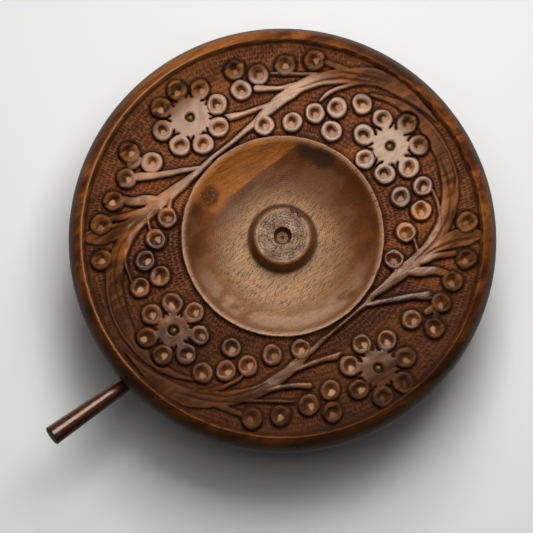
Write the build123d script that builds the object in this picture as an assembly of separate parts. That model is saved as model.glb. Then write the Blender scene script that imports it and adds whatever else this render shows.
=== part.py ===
from build123d import *
import os
from math import cos, radians, sin, sqrt, tan

# A round turned box for spices, 150 mm across, in dark rosewood. A relief-carved lid with a
# hollowed finger dish and a knob sits on the bowl. The bowl holds one cup in the middle and a ring
# of six around it. A small spoon lies in the middle cup, and its tapered handle leaves the box
# through a notch in the bowl's edge, under the lid.
#
# Frame: millimetres, +Z up. The origin is on the turning axis, on the table under the bowl.

# Lid
LID_RADIUS = 75.0
LID_TOP = 60.0
LID_EDGE = 44.0  # underside of the rim, which rests on the bowl's shoulder
FIELD_RADIUS = 70.0  # where the carved field's sloping wall meets the rounded rim
FIELD_FOOT_RADIUS = 68.7  # where that wall meets the sunk ground
LAND = 0.8  # flat land between the dish and the carved field
SEAT_RADIUS = 69.2  # outer edge of the flat underside of the rim
LID_RECESS_RADIUS = 65.2
LID_CEILING = 47.2

# Carved field
CARVE_DEPTH = 2.0
BERRY_RADIUS = 3.6
DIMPLE_RADIUS = 2.4
DIMPLE_DEPTH = 0.9
HUB_TIP_RADIUS = 8.2
HUB_VALLEY_RADIUS = 5.9
HUB_HOLE_RADIUS = 1.6

# Finger dish and knob
DISH_RADIUS = 34.7
DISH_FLOOR = 51.0
KNOB_BASE_RADIUS = 11.3
KNOB_TOP_RADIUS = 10.2
KNOB_TOP = 59.5
KNOB_BORE_RADIUS = 3.1
KNOB_BORE_DEPTH = 4.8
SPIGOT_RADIUS = 6.0
DOWEL_RADIUS = 2.0
DOWEL_END = 48.6
DOWEL_DIMPLE_RADIUS = 0.6

# Pins in the rosettes
PIN_HEAD_RADIUS = 1.4
PIN_HEAD_HEIGHT = 0.5
PIN_SHANK_RADIUS = 0.8
PIN_LENGTH = 6.0
GLUE_GAP = 0.03

# Bowl
BOWL_RADIUS = 69.0
BOWL_CAVITY_RADIUS = 62.0
BOWL_FLOOR = 8.0
BOWL_CORNER = 14.0
LIP_RADIUS = 65.0
LIP_TOP = 47.0
FOOT_RADIUS = 53.0
FOOT_HEIGHT = 1.2
INNER_CORNER = 2.0
TURNED_LINE_DEPTH = 0.6
TURNED_LINES = (30.0, 33.0)

# Cups
CUP_RADIUS = 20.0
CUP_HEIGHT = 18.0
CUP_WALL = 1.8
CUP_CORNER = 5.0
CUP_RING_RADIUS = 41.5
RING_CUPS = 6
RING_PHASE = 30.0

# Spoon. Distances along the handle are counted from the point nearest the turning axis.
HANDLE_AZIMUTH = 216.8
HANDLE_OFFSET = 7.2
HANDLE_TILT = 14.0
NOTCH_PLACE = 68.0
NOTCH_AXIS_HEIGHT = 40.7
HANDLE_START = 9.0
HANDLE_RIM = 75.0
HANDLE_END = 105.8
HANDLE_START_RADIUS = 1.9
HANDLE_RIM_RADIUS = 2.7
HANDLE_END_RADIUS = 3.5
END_ROUNDING = 0.5
NOTCH_RADIUS = 3.15
NOTCH_START = 52.0
NOTCH_END = 82.0
SCOOP_PLACE = 1.0
SCOOP_HALF_LENGTH = 11.0
SCOOP_HALF_WIDTH = 8.0
SCOOP_WALL = 1.4
SOCKET_RADIUS = 3.1
SOCKET_END = 14.5

# The carver laid the same pattern out twice, half a turn apart, by hand and so not quite evenly.
# Each place is (radius, angle) on the lid's top.
ROSETTES = [
    dict(place=(52.9, 127.8), berries=8, ring=10.6, phase=26.0),
    dict(place=(49.1, 40.1), berries=7, ring=10.0, phase=2.0),
    dict(place=(50.2, 221.1), berries=7, ring=9.4, phase=41.0),
    dict(place=(56.7, 305.6), berries=7, ring=10.0, phase=-30.0),
]
UPPER_BERRIES = [
    (61.2, 106.0), (57.7, 98.5), (53.5, 105.7), (60.6, 89.1), (63.2, 79.8), (39.5, 99.4),
    (40.3, 85.1), (44.8, 75.3), (49.1, 67.2), (40.8, 65.2), (54.3, 59.1), (51.8, 19.7),
    (43.4, 18.3), (49.1, 10.4), (42.9, 1.6), (39.6, -12.0), (64.4, 4.3), (64.4, -7.2),
    (61.1, -15.1), (59.7, -23.1), (53.3, -33.2), (61.5, -31.5),
]
LOWER_BERRIES = [
    (63.6, 285.6), (59.5, 278.7), (56.1, 287.0), (62.5, 269.3), (64.3, 260.5), (40.0, 278.9),
    (41.6, 264.9), (46.8, 255.1), (50.9, 247.3), (42.8, 245.5), (55.1, 239.9), (52.6, 200.0),
    (44.8, 198.4), (48.5, 190.4), (44.1, 181.6), (40.7, 171.1), (63.4, 187.6), (63.1, 176.5),
    (60.2, 168.3), (58.1, 159.6), (52.4, 150.5), (61.0, 151.2),
]
# Each vine is its centre line and its widest width; it tapers to a point at both ends.
VINES = [
    ([(66, 58), (60, 72), (52.8, 85), (44, 95), (38.7, 110), (36.8, 128)], 5.0),
    ([(37.0, 128), (37.4, 145), (42.5, 162), (50, 177), (56, 190), (62, 207)], 3.6),
    ([(64, 66), (61.5, 74), (61.0, 82), (60.5, 88)], 2.6),
    ([(56, 80), (54.5, 90), (53.5, 100)], 2.0),
    ([(47, 93), (46.5, 103), (49.5, 113)], 2.0),
    ([(40, 153), (46.5, 156), (52, 155)], 2.0),
    ([(63.5, 60), (64.5, 45), (64.5, 30), (63, 14)], 2.2),
]


def at(place):
    """Point on the lid from its radius and its angle in degrees."""
    radius, angle = place
    return (radius * cos(radians(angle)), radius * sin(radians(angle)))


def turned(*edges):
    """Solid turned about Z, from the edges of its half section as (radius, height)."""
    return revolve(Plane.XZ * make_face(Curve() + list(edges)), Axis.Z)


def drilled(place, radius, low, high):
    """Cylinder standing on a place of the lid, between two heights."""
    x, y = at(place)
    return Pos(x, y, low) * extrude(Circle(radius), high - low)


def taper(start_radius, end_radius, start, end):
    """Cone along X, as the handle is turned."""
    section = Polyline((start, 0), (start, start_radius), (end, end_radius), (end, 0), close=True)
    return revolve(make_face(section), Axis.X)


def rosettes():
    """Place, berry points and hub outline of each rosette."""
    for rosette in ROSETTES:
        cx, cy = at(rosette["place"])
        step = 360 / rosette["berries"]
        berries = []
        hub = []
        for i in range(rosette["berries"]):
            angle = rosette["phase"] + i * step
            dx, dy = at((rosette["ring"], angle))
            berries.append((cx + dx, cy + dy))
            dx, dy = at((HUB_VALLEY_RADIUS, angle))
            hub.append((cx + dx, cy + dy))
            dx, dy = at((HUB_TIP_RADIUS, angle + step / 2))
            hub.append((cx + dx, cy + dy))
        yield rosette["place"], berries, hub


def berry_points():
    """Centres of all carved berries."""
    points = [at(place) for place in UPPER_BERRIES + LOWER_BERRIES]
    for _, berries, _ in rosettes():
        points += berries
    return points


def vine_face(line, width, half_turn):
    """Flat outline of one vine: two splines that meet in its pointed ends."""
    points = [at((radius, angle + half_turn)) for radius, angle in line]
    left = []
    right = []
    for before, here, after in zip(points, points[1:], points[2:]):
        dx = after[0] - before[0]
        dy = after[1] - before[1]
        side = width / 2 / sqrt(dx * dx + dy * dy)
        left.append((here[0] - dy * side, here[1] + dx * side))
        right.append((here[0] + dy * side, here[1] - dx * side))
    first = Spline(points[0], *left, points[-1])
    second = Spline(points[0], *right, points[-1])
    return make_face(first + second)


def relief():
    """The raised carving, standing on the sunk ground of the carved field."""
    sunk = 0.4
    height = CARVE_DEPTH + sunk
    base = LID_TOP - height
    raised = []
    for x, y in berry_points():
        raised.append(Pos(x, y, base) * extrude(Circle(BERRY_RADIUS), height))
    for _, _, hub in rosettes():
        outline = make_face(Polyline(*hub, close=True))
        raised.append(Pos(0, 0, base) * extrude(outline, height))
    for line, width in VINES:
        for half_turn in (0, 180):
            raised.append(Pos(0, 0, base) * extrude(vine_face(line, width, half_turn), height))
    return raised


def dimples():
    """Balls that gouge a thumb print into the top of each berry."""
    ball = (DIMPLE_RADIUS**2 + DIMPLE_DEPTH**2) / (2 * DIMPLE_DEPTH)
    height = LID_TOP + ball - DIMPLE_DEPTH
    return [Pos(x, y, height) * Sphere(ball) for x, y in berry_points()]


def lid_disc():
    """Lid with its rounded rim, finger dish, carved field and the holes for pins and knob."""
    equator = (LID_TOP + LID_EDGE) / 2
    rim_height = (LID_TOP - LID_EDGE) / 2
    diagonal = sqrt(0.5)
    upper_radius = FIELD_RADIUS + (LID_RADIUS - FIELD_RADIUS) * diagonal
    lower_radius = SEAT_RADIUS + (LID_RADIUS - SEAT_RADIUS) * diagonal
    upper_rim = (upper_radius, equator + rim_height * diagonal)
    lower_rim = (lower_radius, equator - rim_height * diagonal)
    field_in = DISH_RADIUS + LAND
    ground = LID_TOP - CARVE_DEPTH
    dish_run = DISH_RADIUS - KNOB_BASE_RADIUS
    dish_drop = LID_TOP - DISH_FLOOR
    dish_curve = (dish_run**2 + dish_drop**2) / (2 * dish_drop)
    half_run = KNOB_BASE_RADIUS + dish_run / 2
    half_height = DISH_FLOOR + dish_curve - sqrt(dish_curve**2 - (dish_run / 2) ** 2)
    disc = turned(
        Polyline((0, LID_CEILING), (LID_RECESS_RADIUS, LID_CEILING), (LID_RECESS_RADIUS, LID_EDGE)),
        Line((LID_RECESS_RADIUS, LID_EDGE), (SEAT_RADIUS, LID_EDGE)),
        Spline(
            (SEAT_RADIUS, LID_EDGE), lower_rim, (LID_RADIUS, equator),
            tangents=[(1, 0), (0, 1)],
        ),
        Spline(
            (LID_RADIUS, equator), upper_rim, (FIELD_RADIUS, LID_TOP),
            tangents=[(0, 1), (-1, 0)],
        ),
        Line((FIELD_RADIUS, LID_TOP), (FIELD_FOOT_RADIUS, ground)),
        Polyline((FIELD_FOOT_RADIUS, ground), (field_in, ground), (field_in, LID_TOP)),
        Line((field_in, LID_TOP), (DISH_RADIUS, LID_TOP)),
        ThreePointArc(
            (DISH_RADIUS, LID_TOP), (half_run, half_height), (KNOB_BASE_RADIUS, DISH_FLOOR)
        ),
        Polyline((KNOB_BASE_RADIUS, DISH_FLOOR), (0, DISH_FLOOR), (0, LID_CEILING)),
    )
    disc = disc.fuse(*relief())
    disc = disc.cut(*dimples())
    through = (0, 0)
    holes = [drilled(through, SPIGOT_RADIUS, LID_CEILING - 1, DISH_FLOOR + 1)]
    for place, _, _ in rosettes():
        holes.append(drilled(place, HUB_HOLE_RADIUS, ground, LID_TOP + 1))
        holes.append(drilled(place, PIN_SHANK_RADIUS, ground - PIN_LENGTH, ground + 1))
    return disc.cut(*holes)


def lid_knob():
    """Knob turned with a spigot that is glued into the lid, and a blind bore in its top."""
    waist_radius = KNOB_TOP_RADIUS - 0.2
    waist = KNOB_TOP - 4.5
    corner = 0.6
    spigot = SPIGOT_RADIUS - GLUE_GAP
    bore_floor = KNOB_TOP - KNOB_BORE_DEPTH
    hole = DOWEL_RADIUS + GLUE_GAP
    return turned(
        Polyline((hole, LID_CEILING), (spigot, LID_CEILING), (spigot, DISH_FLOOR)),
        Line((spigot, DISH_FLOOR), (KNOB_BASE_RADIUS, DISH_FLOOR)),
        Spline(
            (KNOB_BASE_RADIUS, DISH_FLOOR), (waist_radius, waist),
            (KNOB_TOP_RADIUS, KNOB_TOP - corner),
        ),
        ThreePointArc(
            (KNOB_TOP_RADIUS, KNOB_TOP - corner),
            (KNOB_TOP_RADIUS - corner * 0.3, KNOB_TOP - corner * 0.3),
            (KNOB_TOP_RADIUS - corner, KNOB_TOP),
        ),
        Line((KNOB_TOP_RADIUS - corner, KNOB_TOP), (KNOB_BORE_RADIUS, KNOB_TOP)),
        Line((KNOB_BORE_RADIUS, KNOB_TOP), (KNOB_BORE_RADIUS, bore_floor)),
        Polyline((KNOB_BORE_RADIUS, bore_floor), (hole, bore_floor), (hole, LID_CEILING)),
    )


def knob_dowel():
    """Round peg through the knob's spigot, with a small centre mark on its end."""
    top = KNOB_TOP - KNOB_BORE_DEPTH + 0.3
    peg = Pos(0, 0, DOWEL_END) * extrude(Circle(DOWEL_RADIUS), top - DOWEL_END)
    return peg - Pos(0, 0, top) * Sphere(DOWEL_DIMPLE_RADIUS)


def rosette_pins():
    """Four round-headed pins, one sunk in the hole of each rosette."""
    ground = LID_TOP - CARVE_DEPTH
    head_curve = (PIN_HEAD_RADIUS**2 + PIN_HEAD_HEIGHT**2) / (2 * PIN_HEAD_HEIGHT)
    head_middle = sqrt(head_curve**2 - (PIN_HEAD_RADIUS / 2) ** 2) - head_curve + PIN_HEAD_HEIGHT
    shank = PIN_SHANK_RADIUS - GLUE_GAP
    pin = turned(
        Polyline((0, PIN_HEAD_HEIGHT), (0, 0.3 - PIN_LENGTH), (shank, 0.3 - PIN_LENGTH)),
        Polyline((shank, 0.3 - PIN_LENGTH), (shank, 0), (PIN_HEAD_RADIUS, 0)),
        ThreePointArc(
            (PIN_HEAD_RADIUS, 0), (PIN_HEAD_RADIUS / 2, head_middle), (0, PIN_HEAD_HEIGHT)
        ),
    )
    return Compound(children=[Pos(*at(place), ground) * pin for place, _, _ in rosettes()])


def handle_frame():
    """Frame whose X axis runs outward along the handle, from the point nearest the box's axis."""
    side = at((HANDLE_OFFSET, HANDLE_AZIMUTH + 90))
    height = NOTCH_AXIS_HEIGHT - NOTCH_PLACE * tan(radians(HANDLE_TILT))
    return Pos(*side, height) * Rot(0, 0, HANDLE_AZIMUTH) * Rot(0, -HANDLE_TILT, 0)


def along(distance):
    """Length along the tilted handle for a distance measured flat on the table."""
    return distance / cos(radians(HANDLE_TILT))


def bowl():
    """Turned bowl with its shoulder and lip for the lid, foot ring and spoon notch."""
    side_middle = BOWL_CORNER * (1 - sqrt(0.5))
    flat = BOWL_RADIUS - BOWL_CORNER
    corner_in = INNER_CORNER * (1 - sqrt(0.5))
    cavity = BOWL_CAVITY_RADIUS
    body = turned(
        Polyline((0, 0), (FOOT_RADIUS, 0), (FOOT_RADIUS, FOOT_HEIGHT)),
        Line((FOOT_RADIUS, FOOT_HEIGHT), (flat, FOOT_HEIGHT)),
        ThreePointArc(
            (flat, FOOT_HEIGHT),
            (BOWL_RADIUS - side_middle, FOOT_HEIGHT + side_middle),
            (BOWL_RADIUS, FOOT_HEIGHT + BOWL_CORNER),
        ),
        Polyline((BOWL_RADIUS, FOOT_HEIGHT + BOWL_CORNER), (BOWL_RADIUS, LID_EDGE)),
        Polyline((BOWL_RADIUS, LID_EDGE), (LIP_RADIUS, LID_EDGE), (LIP_RADIUS, LIP_TOP)),
        Polyline((LIP_RADIUS, LIP_TOP), (cavity, LIP_TOP), (cavity, BOWL_FLOOR + INNER_CORNER)),
        ThreePointArc(
            (cavity, BOWL_FLOOR + INNER_CORNER),
            (cavity - corner_in, BOWL_FLOOR + corner_in),
            (cavity - INNER_CORNER, BOWL_FLOOR),
        ),
        Polyline((cavity - INNER_CORNER, BOWL_FLOOR), (0, BOWL_FLOOR), (0, 0)),
    )
    for height in TURNED_LINES:
        body -= Pos(0, 0, height) * Torus(BOWL_RADIUS, TURNED_LINE_DEPTH)
    start = along(NOTCH_START)
    length = along(NOTCH_END) - start
    groove = Pos(start, 0, 0) * Rot(0, 90, 0) * extrude(Circle(NOTCH_RADIUS), length)
    opening = Box(length, 2 * NOTCH_RADIUS, 30, align=(Align.MIN, Align.CENTER, Align.MIN))
    body -= handle_frame() * groove
    body -= handle_frame() * Pos(start, 0, 0) * opening
    return body


def cup():
    """One small turned cup, standing at the middle of the bowl's floor."""
    rim = BOWL_FLOOR + CUP_HEIGHT
    flat = CUP_RADIUS - CUP_CORNER
    outer_middle = CUP_CORNER * (1 - sqrt(0.5))
    inside = CUP_RADIUS - CUP_WALL
    floor = BOWL_FLOOR + CUP_WALL
    inner_corner = CUP_CORNER - CUP_WALL / 2
    inner_middle = inner_corner * (1 - sqrt(0.5))
    return turned(
        Line((0, BOWL_FLOOR), (flat, BOWL_FLOOR)),
        ThreePointArc(
            (flat, BOWL_FLOOR),
            (CUP_RADIUS - outer_middle, BOWL_FLOOR + outer_middle),
            (CUP_RADIUS, BOWL_FLOOR + CUP_CORNER),
        ),
        Line((CUP_RADIUS, BOWL_FLOOR + CUP_CORNER), (CUP_RADIUS, rim - CUP_WALL / 2)),
        ThreePointArc(
            (CUP_RADIUS, rim - CUP_WALL / 2),
            (CUP_RADIUS - CUP_WALL / 2, rim),
            (inside, rim - CUP_WALL / 2),
        ),
        Line((inside, rim - CUP_WALL / 2), (inside, floor + inner_corner)),
        ThreePointArc(
            (inside, floor + inner_corner),
            (inside - inner_middle, floor + inner_middle),
            (inside - inner_corner, floor),
        ),
        Polyline((inside - inner_corner, floor), (0, floor), (0, BOWL_FLOOR)),
    )


def spoon_handle():
    """Tapered handle, thin in the scoop and thickest at its outer end."""
    inner = taper(HANDLE_START_RADIUS, HANDLE_RIM_RADIUS, along(HANDLE_START), along(HANDLE_RIM))
    outer = taper(HANDLE_RIM_RADIUS, HANDLE_END_RADIUS, along(HANDLE_RIM), along(HANDLE_END))
    handle = inner + outer
    end = handle.edges().sort_by(Axis.X)[-1]
    return handle_frame() * fillet(end, END_ROUNDING)


def spoon_bowl():
    """Carved scoop with a short socket that the handle is glued into."""
    place = along(SCOOP_PLACE)

    def egg(half_length, half_width):
        tip = (place - half_length, 0)
        side = (place, half_width)
        heel = (place + half_length, 0)
        curve = Spline(tip, side, heel, tangents=[(0, 1), (0, -1)])
        return revolve(make_face(curve + Line(heel, tip)), Axis.X)

    outside = egg(SCOOP_HALF_LENGTH, SCOOP_HALF_WIDTH)
    inside = egg(SCOOP_HALF_LENGTH - SCOOP_WALL, SCOOP_HALF_WIDTH - SCOOP_WALL)
    above = Box(60, 40, 20, align=(Align.CENTER, Align.CENTER, Align.MIN))
    scoop = outside - above
    socket = taper(SOCKET_RADIUS, SOCKET_RADIUS, along(6.0), along(SOCKET_END))
    scoop = scoop + socket - inside
    bore = taper(
        HANDLE_START_RADIUS + GLUE_GAP, HANDLE_RIM_RADIUS + GLUE_GAP,
        along(HANDLE_START), along(HANDLE_RIM),
    )
    return handle_frame() * (scoop - bore)


def cup_places():
    """Name and offset of each cup."""
    places = {"cup_centre": (0, 0)}
    for i in range(RING_CUPS):
        places[f"cup_{i + 1}"] = at((CUP_RING_RADIUS, RING_PHASE + i * 360 / RING_CUPS))
    return places


nodes = {
    "bowl": bowl(),
    "lid_disc": lid_disc(),
    "lid_knob": lid_knob(),
    "knob_dowel": knob_dowel(),
    "rosette_pins": rosette_pins(),
    "spoon_handle": spoon_handle(),
    "spoon_bowl": spoon_bowl(),
}
for name, (x, y) in cup_places().items():
    nodes[name] = Pos(x, y, 0) * cup()

os.makedirs("parts", exist_ok=True)
for name, shape in nodes.items():
    export_step(shape, f"parts/{name}.step")
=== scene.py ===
from math import acos, cos, degrees, radians, sin

import bmesh
import bpy
import numpy as np
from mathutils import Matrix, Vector


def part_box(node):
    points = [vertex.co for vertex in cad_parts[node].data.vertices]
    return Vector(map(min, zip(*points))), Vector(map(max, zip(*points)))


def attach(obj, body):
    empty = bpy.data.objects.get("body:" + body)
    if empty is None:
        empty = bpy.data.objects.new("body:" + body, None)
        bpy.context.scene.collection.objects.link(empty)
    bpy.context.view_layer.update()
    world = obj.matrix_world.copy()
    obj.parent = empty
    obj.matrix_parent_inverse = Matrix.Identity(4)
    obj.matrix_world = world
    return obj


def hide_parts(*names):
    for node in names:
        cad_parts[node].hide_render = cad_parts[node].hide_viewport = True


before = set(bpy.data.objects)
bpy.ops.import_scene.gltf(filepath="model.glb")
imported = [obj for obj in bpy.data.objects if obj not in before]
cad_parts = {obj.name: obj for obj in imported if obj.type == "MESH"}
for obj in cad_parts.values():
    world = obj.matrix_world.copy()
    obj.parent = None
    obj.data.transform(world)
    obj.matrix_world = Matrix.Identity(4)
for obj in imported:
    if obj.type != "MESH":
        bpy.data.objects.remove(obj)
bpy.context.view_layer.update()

# Looks for a round rosewood spice box with a carved lid. Shapes are worked out in millimetres on the
# turning axis, and every mesh is written in metres in the frame of the CAD model.

MM = 0.001
SEED = 11


def box_mm(node):
    """Lowest and highest corner of a CAD node, in millimetres."""
    low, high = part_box(node)
    return low / MM, high / MM


# Sizes read from the frame
lid_low, lid_high = box_mm("lid_disc")
_, bowl_high = box_mm("bowl")
_, knob_high = box_mm("lid_knob")
cup_low, cup_high = box_mm("cup_centre")
LID_RADIUS = lid_high.x
LID_TOP = lid_high.z
LID_EDGE = lid_low.z
BOWL_RADIUS = bowl_high.x
BOWL_TOP = bowl_high.z
KNOB_TOP = knob_high.z
KNOB_BASE_RADIUS = knob_high.x
CUP_RADIUS = cup_high.x
CUP_BOTTOM = cup_low.z
CUP_TOP = cup_high.z

# Lid and handle, as the CAD model has them
SPIGOT_RADIUS = 6.0
LID_CEILING = 47.2
LID_RECESS_RADIUS = 65.2
RIM_RADIUS = 70.0  # where the carved field's sloping wall meets the rounded rim
WALL_FOOT_RADIUS = 68.7
DISH_RADIUS = 35.1
DISH_FLOOR = 51.0
CARVE_DEPTH = 2.0
HANDLE_AZIMUTH = 216.8
HANDLE_TILT = 14.0
HANDLE_AXIS_HEIGHT = 23.7  # height of the handle's axis line where it passes the turning axis
HANDLE_END = 105.8

# Fineness of the lid's mesh
SEGMENTS = 1440  # points in each ring
FIELD_STEP = 0.27  # distance from ring to ring in the carved field

# Carved pattern, laid out twice, half a turn apart. Places are (radius, angle) in millimetres and
# degrees.
BERRY_RADIUS = 3.7
GOUGE_RADIUS = 2.25
GOUGE_DEPTH = 1.45
GOUGE_BEARING = radians(112)  # the side on which each thumb-nail cut is deepest and steepest
GOUGE_LEAN = 0.42  # how far off its middle that is, as a share of the cut's radius
BERRY_REACH = 7  # nothing of a berry or its groove is further from its middle
GROOVE_DEPTH = 1.9
MOAT_DEPTH = 0.55
PUNCH_DEPTH = 0.62
SIDE_WIDTH = 0.42  # how far a raised shape's sloping side reaches
VEIN_WIDTH = 0.3
HAND_WOBBLE = 0.13  # how far the cuts stray from where they are drawn
LEAF_SLOPES = ((54.0, 62.0, 0.10), (62.0, 68.0, 0.03))  # from radius, to radius, fall per mm
HUB_HOLE_RADIUS = 1.6
ROSETTES = [
    dict(place=(52.9, 127.8), berries=8, ring=10.6, phase=26.0),
    dict(place=(49.1, 40.1), berries=7, ring=10.0, phase=2.0),
    dict(place=(50.2, 221.1), berries=7, ring=9.4, phase=41.0),
    dict(place=(56.7, 305.6), berries=7, ring=10.0, phase=-30.0),
]
UPPER_BERRIES = [
    (61.2, 106.0), (57.7, 98.5), (53.5, 105.7), (60.6, 89.1), (63.2, 79.8), (39.5, 99.4),
    (40.3, 85.1), (44.8, 75.3), (49.1, 67.2), (40.8, 65.2), (54.3, 59.1), (51.8, 19.7),
    (43.4, 18.3), (49.1, 10.4), (42.9, 1.6), (39.6, -12.0), (64.4, 4.3), (64.4, -7.2),
    (61.1, -15.1), (59.7, -23.1), (53.3, -33.2), (61.5, -31.5),
]
LOWER_BERRIES = [
    (63.6, 285.6), (59.5, 278.7), (56.1, 287.0), (62.5, 269.3), (64.3, 260.5), (40.0, 278.9),
    (41.6, 264.9), (46.8, 255.1), (50.9, 247.3), (42.8, 245.5), (55.1, 239.9), (52.6, 200.0),
    (44.8, 198.4), (48.5, 190.4), (44.1, 181.6), (40.7, 171.1), (63.4, 187.6), (63.1, 176.5),
    (60.2, 168.3), (58.1, 159.6), (52.4, 150.5), (61.0, 151.2),
]
# Each stem is a row of (radius, angle, width) along its middle.
STEMS = [
    # the spray's trunk, from its root at the border to the dish edge
    [(67.5, 50, 2.5), (64.5, 60, 5.5), (60.3, 70, 5.4), (55.3, 80, 4.6), (50, 88, 4.6),
     (45.5, 95, 3.8), (41.2, 103.5, 2.6), (38.6, 112, 1.8), (37.0, 124, 1.5), (37.0, 137, 1.8)],
    # the trunk goes on as the long leaf that hugs the border
    [(37.0, 137, 1.8), (37.9, 147, 2.6), (40.3, 155.5, 3.8), (43.5, 163, 4.8), (47.5, 170, 5.0),
     (52, 177, 5.0), (57, 186, 5.6), (61, 196, 6.0), (63, 208, 5.4), (63.2, 220, 4.2),
     (61.7, 230, 2.6), (59, 238, 1.2)],
    # pad between the root and the border
    [(67.6, 37, 0.6), (67.0, 44, 2.8), (66.3, 52, 5.4), (65.2, 60, 6.0), (62.8, 66, 5.0)],
    # branches of the right arm
    [(58.5, 73, 1.2), (55.3, 81, 1.8), (53, 88, 1.7), (52.3, 93, 1.9), (52.9, 100, 2.6)],
    [(60.5, 72, 0.8), (58.3, 80, 1.2), (57.5, 88, 1.2), (57.8, 94, 1.0)],
    [(48.5, 90, 1.2), (46.3, 98, 1.7), (45.3, 107, 1.9), (46.1, 115.5, 2.7)],
    [(66.5, 54, 0.8), (61.8, 61.4, 1.4), (57.2, 67.8, 1.6), (52.9, 72.3, 1.5), (49.6, 74.7, 1.0)],
    [(43.5, 98, 1.0), (41.5, 99, 1.6), (39.7, 99.3, 1.6)],
    [(63.5, 60, 1.6), (63, 70, 2.2), (63.5, 76, 2.0), (64.0, 80.2, 1.6)],
    # branches of the left arm
    [(37.6, 140, 1.2), (40.6, 145, 2.0), (45.5, 151, 2.3), (50, 155, 2.5), (54.5, 157.5, 3.4)],
    [(44, 163.5, 2.0), (48.8, 165, 3.6), (54, 167, 3.2), (58.5, 167, 2.2)],
    [(48, 171, 2.5), (54, 176.5, 4.6), (60, 179.0, 6.2), (64.5, 180.0, 6.4), (67, 180.3, 4.6)],
    [(49, 169, 1.8), (54, 172.5, 2.4), (60, 174.2, 2.0)],
    [(48, 170, 1.2), (46.5, 176, 1.4), (45.5, 180, 1.2)],
    [(52, 174, 1.2), (54.8, 182, 1.3), (55.3, 191, 1.3), (54.8, 197, 1.1)],
    [(41.5, 160, 1.6), (41, 164, 1.8), (40.4, 169.1, 1.8)],
    [(56.5, 152, 2.6), (58.5, 155, 2.6), (60, 152, 2.2)],
]
# Fine V cuts along the leaves: rows of (radius, angle, depth).
VEINS = [
    [(63.5, 58, 0.1), (59.5, 70, 0.7), (55.5, 78, 0.5), (52, 84, 0.1)],
    [(66.0, 56, 0.2), (62.8, 66, 0.6), (60.4, 74, 0.2)],
    [(47, 169, 0.1), (53, 178, 0.4), (58.5, 188, 0.55), (61, 199, 0.5), (61.5, 212, 0.1)],
    [(50, 172, 0.1), (57, 177, 0.5), (64, 179, 0.6), (68, 179.5, 0.2)],
    [(60.2, 190, 0.1), (63.6, 199, 0.5), (65.0, 208, 0.4), (64.6, 217, 0.1)],
]

CHIP_ANGLES = (67, 51)  # where the knob's edge is chipped
GRAIN_ANGLE = 31.0  # direction of the lid's grain
KNOT = (-25.5, 14.3)  # place of the dark knot in the dish

# Dark, middle and light tones of the turned woods
BOWL_TONES = ((0.030, 0.009, 0.004), (0.125, 0.038, 0.011), (0.31, 0.11, 0.026))
CUP_TONES = ((0.085, 0.030, 0.012), (0.23, 0.092, 0.036), (0.44, 0.21, 0.085))


def smooth(t):
    """Eased step from 0 to 1."""
    t = np.clip(t, 0, 1)
    return t * t * (3 - 2 * t)


def spot(radius, angle):
    """Point in millimetres from a radius and an angle in degrees."""
    return radius * cos(radians(angle)), radius * sin(radians(angle))


def uneven(x, y, size, seed):
    """Smooth repeatable unevenness, about -1 to 1, with features of the given size."""
    random = np.random.default_rng(seed)
    waves = 7
    total = 0
    for _ in range(waves):
        turn = random.uniform(0, 2 * np.pi)
        phase = random.uniform(0, 2 * np.pi)
        pace = 2 * np.pi / size * random.uniform(0.6, 1.5)
        total = total + np.sin((x * cos(turn) + y * sin(turn)) * pace + phase)
    return total / waves * 2


def curve_points(line, per_span=8):
    """Even points on a Catmull-Rom curve through (radius, angle, value) places: x, y, value."""
    places = np.array([[*spot(radius, angle), value] for radius, angle, value in line])
    padded = np.vstack([2 * places[0] - places[1], places, 2 * places[-1] - places[-2]])
    points = []
    for i in range(len(places) - 1):
        a, b, c, d = padded[i : i + 4]
        for t in np.arange(per_span) / per_span:
            bend = 2 * b + (c - a) * t + (2 * a - 5 * b + 4 * c - d) * t**2
            points.append((bend + (3 * b - a - 3 * c + d) * t**3) / 2)
    points.append(places[-1])
    return np.array(points)


def along_curve(x, y, points, reach):
    """Distance from each point to a curve and the curve's value there, within reach of it."""
    distance = np.full(x.shape, 1e3)
    value = np.zeros(x.shape)
    low = points[:, :2].min(0) - reach
    high = points[:, :2].max(0) + reach
    near = (x > low[0]) & (x < high[0]) & (y > low[1]) & (y < high[1])
    px, py = x[near], y[near]
    best = np.full(px.shape, 1e3)
    found = np.zeros(px.shape)
    for (ax, ay, av), (bx, by, bv) in zip(points, points[1:]):
        dx, dy = bx - ax, by - ay
        t = np.clip(((px - ax) * dx + (py - ay) * dy) / (dx * dx + dy * dy), 0, 1)
        d = np.hypot(px - ax - t * dx, py - ay - t * dy)
        closer = d < best
        best = np.where(closer, d, best)
        found = np.where(closer, av + t * (bv - av), found)
    distance[near] = best
    value[near] = found
    return distance, value


def both_halves(lines):
    """Each line as drawn, and again half a turn further round."""
    for line in lines:
        yield line
        yield [(radius, angle + 180, value) for radius, angle, value in line]


def berry_places():
    """Centre of every berry, and the centre of the rosette it belongs to or None."""
    places = [(spot(*place), None) for place in UPPER_BERRIES + LOWER_BERRIES]
    for rosette in ROSETTES:
        centre = spot(*rosette["place"])
        for i in range(rosette["berries"]):
            dx, dy = spot(rosette["ring"], rosette["phase"] + i * 360 / rosette["berries"])
            places.append(((centre[0] + dx, centre[1] + dy), centre))
    return places


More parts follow.
